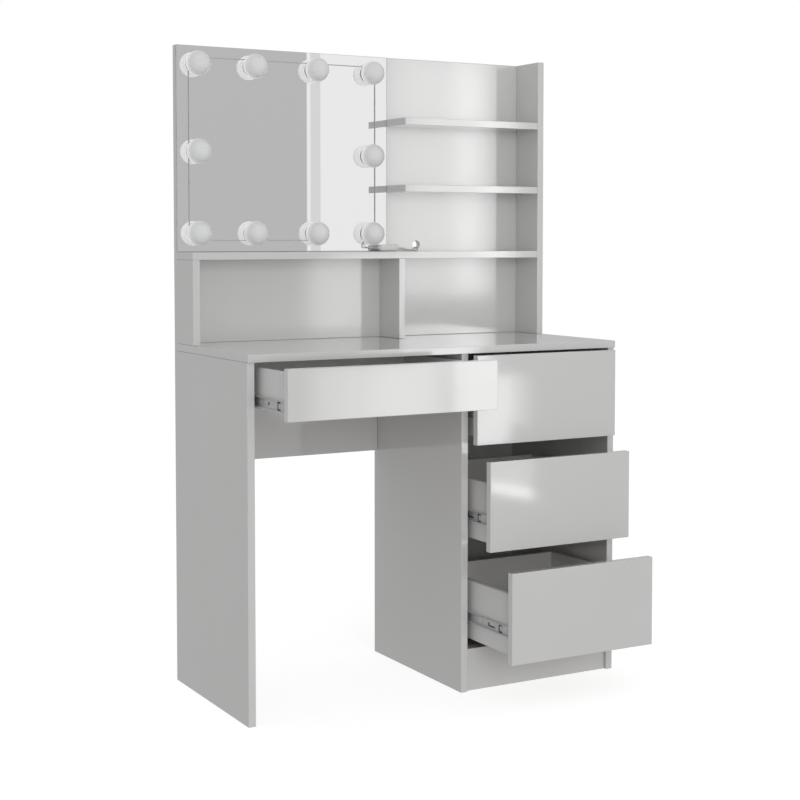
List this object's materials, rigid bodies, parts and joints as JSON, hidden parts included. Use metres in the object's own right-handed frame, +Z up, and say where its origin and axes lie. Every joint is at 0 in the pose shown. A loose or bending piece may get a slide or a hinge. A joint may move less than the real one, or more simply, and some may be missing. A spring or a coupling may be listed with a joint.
{
  "type": "vanity table with mirror",
  "caption": "Gloss white vanity desk with a kneehole, sliding pedestal drawers, a wide drawer, open shelves, a cubby and a frameless mirror ringed with globe lights.",
  "frame": {"origin": "on the floor, midway across the width and midway between the back plane and the face of the lowest drawer, which stands open 170 mm at rest", "axes": "+Z up, -Y towards the sitter, +X towards the drawer pedestal"},
  "size_m": [0.9, 0.6368, 1.4],
  "materials": {
    "white_lacquer": "high-gloss white lacquer on chipboard with matching edge band",
    "white_foil": "satin white foil on chipboard",
    "white_hardboard": "matt white painted hardboard",
    "silvered_glass": "clear silvered glass with ground edges",
    "opal_plastic": "frosted opal diffuser, unlit",
    "zinc_steel": "zinc-plated rolled sheet",
    "white_plastic": "moulded white plastic, semi-gloss",
    "white_cable": "soft white cable jacket"
  },
  "bodies": {
    "carcase": {"left_side_panel": "white_lacquer", "pedestal_inner_side": "white_lacquer", "pedestal_outer_side": "white_lacquer", "table_top": "white_lacquer", "modesty_panel": "white_lacquer", "pedestal_plinth": "white_lacquer", "pedestal_floor": "white_lacquer", "pedestal_back": "white_hardboard", "upper_back_panel": "white_lacquer", "upper_left_side": "white_lacquer", "cubby_divider": "white_lacquer", "upper_right_side": "white_lacquer", "wide_shelf": "white_lacquer", "middle_shelf": "white_lacquer", "top_shelf": "white_lacquer", "mirror_glass": "silvered_glass", "top_bulb_1": "opal_plastic", "top_bulb_2": "opal_plastic", "top_bulb_3": "opal_plastic", "top_bulb_4": "opal_plastic", "middle_bulb_1": "opal_plastic", "middle_bulb_2": "opal_plastic", "bottom_bulb_1": "opal_plastic", "bottom_bulb_2": "opal_plastic", "bottom_bulb_3": "opal_plastic", "bottom_bulb_4": "opal_plastic", "light_wire": "white_cable", "dimmer": "white_plastic", "usb_lead": "white_cable", "usb_lead_coil": "white_cable", "usb_plug": "white_plastic", "top_cabinet_rail_left": "zinc_steel", "top_cabinet_rail_right": "zinc_steel", "middle_cabinet_rail_left": "zinc_steel", "middle_cabinet_rail_right": "zinc_steel", "bottom_cabinet_rail_left": "zinc_steel", "bottom_cabinet_rail_right": "zinc_steel", "wide_cabinet_rail_left": "zinc_steel", "wide_cabinet_rail_right": "zinc_steel"},
    "top_drawer": {"top_drawer_front": "white_lacquer", "top_drawer_box": "white_foil", "top_drawer_bottom": "white_hardboard", "top_drawer_rail_left": "zinc_steel", "top_drawer_rail_right": "zinc_steel"},
    "middle_drawer": {"middle_drawer_front": "white_lacquer", "middle_drawer_box": "white_foil", "middle_drawer_bottom": "white_hardboard", "middle_drawer_rail_left": "zinc_steel", "middle_drawer_rail_right": "zinc_steel"},
    "bottom_drawer": {"bottom_drawer_front": "white_lacquer", "bottom_drawer_box": "white_foil", "bottom_drawer_bottom": "white_hardboard", "bottom_drawer_rail_left": "zinc_steel", "bottom_drawer_rail_right": "zinc_steel"},
    "wide_drawer": {"wide_drawer_front": "white_lacquer", "wide_drawer_box": "white_foil", "wide_drawer_bottom": "white_hardboard", "wide_drawer_rail_left": "zinc_steel", "wide_drawer_rail_right": "zinc_steel"}
  },
  "joints": [
    {"name": "top_drawer_slide", "type": "slide", "parent": "carcase", "child": "top_drawer", "axis": [0, -1, 0], "range_m": [-0.032, 0.218]},
    {"name": "middle_drawer_slide", "type": "slide", "parent": "carcase", "child": "middle_drawer", "axis": [0, -1, 0], "range_m": [-0.085, 0.165]},
    {"name": "bottom_drawer_slide", "type": "slide", "parent": "carcase", "child": "bottom_drawer", "axis": [0, -1, 0], "range_m": [-0.17, 0.08]},
    {"name": "wide_drawer_slide", "type": "slide", "parent": "carcase", "child": "wide_drawer", "axis": [0, -1, 0], "range_m": [-0.148, 0.102]}
  ]
}
